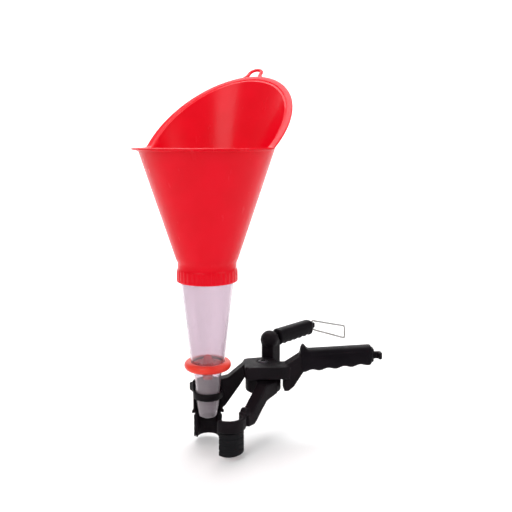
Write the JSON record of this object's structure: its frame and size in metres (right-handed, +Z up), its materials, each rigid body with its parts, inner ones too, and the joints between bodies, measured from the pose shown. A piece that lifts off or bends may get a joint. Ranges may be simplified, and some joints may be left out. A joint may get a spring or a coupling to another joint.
{
  "type": "clamp-held oil funnel",
  "caption": "Hooded funnel with clear spout and twist valve, standing in spring pliers whose split plug grips a filler neck.",
  "frame": {"origin": "on the spout's axis, in the plane of the plug's shoulder that rests on the filler neck", "axes": "+Z up along the spout, +X from the spout towards the handles, -Y the side on which the split plug opens"},
  "size_m": [0.2669, 0.1809, 0.4069],
  "materials": {
    "red_plastic": "semi-gloss",
    "orange_plastic": "semi-gloss",
    "clear_plastic": "clear, slightly pink",
    "black_nylon": "satin",
    "soft_grip": "satin",
    "black_rubber": "matt",
    "zinc_steel": "zinc plated",
    "black_steel": "black oxide"
  },
  "bodies": {
    "holder": {"holder_lever": "black_nylon", "holder_plug_pad": "black_rubber", "front_grip": "soft_grip", "pivot_bolt": "black_steel", "plate_washer": "zinc_steel", "nut_washer": "zinc_steel", "pivot_nut": "zinc_steel", "torsion_spring": "zinc_steel"},
    "clamp": {"clamp_lever": "black_nylon", "clamp_plug_pad": "black_rubber", "rear_grip": "soft_grip", "pivot_bush": "zinc_steel"},
    "bail": {"wire_bail": "zinc_steel"},
    "spout": {"spout_tube": "clear_plastic", "tube_seal": "black_rubber", "valve_stem": "red_plastic", "valve_seat": "red_plastic", "seat_seal": "black_rubber", "nozzle": "clear_plastic", "head_gasket": "black_rubber"},
    "valve": {"valve_ring": "orange_plastic"},
    "head": {"funnel_head": "red_plastic"}
  },
  "joints": [
    {"name": "handle_squeeze", "type": "hinge", "parent": "holder", "child": "clamp", "pos_m": [0.0605, 0.008, 0.0395], "axis": [0, 0, -1], "range_deg": [0, 42], "stiffness_Nm_per_rad": 0.6, "springref_deg": -20.05},
    {"name": "bail_swing", "type": "hinge", "parent": "clamp", "child": "bail", "pos_m": [0.12576, 0.07412, 0.074], "axis": [0, 0, 1], "range_deg": [-87, 78]},
    {"name": "spout_lift", "type": "slide", "parent": "holder", "child": "spout", "axis": [0, 0, 1], "range_m": [0, 0.07]},
    {"name": "head_turn", "type": "hinge", "parent": "spout", "child": "head", "pos_m": [0, 0, 0.15], "axis": [0, 0, 1], "continuous": true},
    {"name": "valve_turn", "type": "hinge", "parent": "spout", "child": "valve", "pos_m": [0, 0, 0.054], "axis": [0, 0, 1], "range_deg": [0, 60]}
  ]
}
